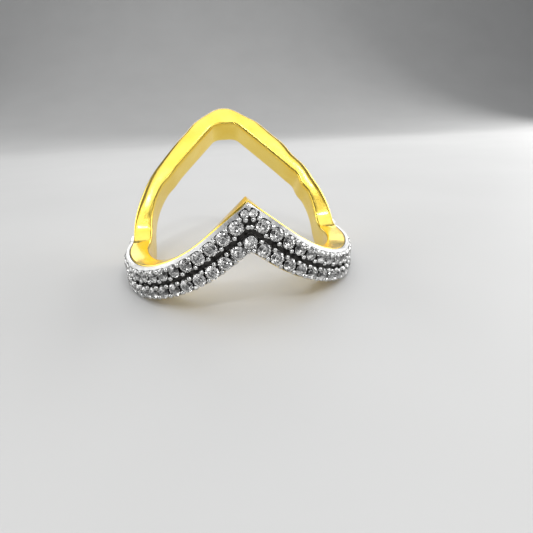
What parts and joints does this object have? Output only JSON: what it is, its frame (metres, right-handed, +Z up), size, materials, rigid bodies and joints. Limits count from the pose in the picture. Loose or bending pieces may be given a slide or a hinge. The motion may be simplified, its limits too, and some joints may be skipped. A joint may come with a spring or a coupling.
{
  "type": "chevron ring",
  "caption": "Gold finger ring with a V-shaped white paved front and a plain back that rises in a pointed arch.",
  "frame": {"origin": "centre of the ring's footprint box, on the surface that it stands on", "axes": "+Z up along the finger axis, -Y towards the paved front, X across the finger"},
  "size_m": [0.022, 0.024, 0.015],
  "materials": {
    "yellow_gold": "polished yellow gold plate",
    "white_metal": "bright rhodium with dark bright-cut seats",
    "clear_stone": "round brilliant cut, clear"
  },
  "bodies": {
    "root": {"band": "yellow_gold", "pave_setting": "white_metal"}
  },
  "joints": []
}
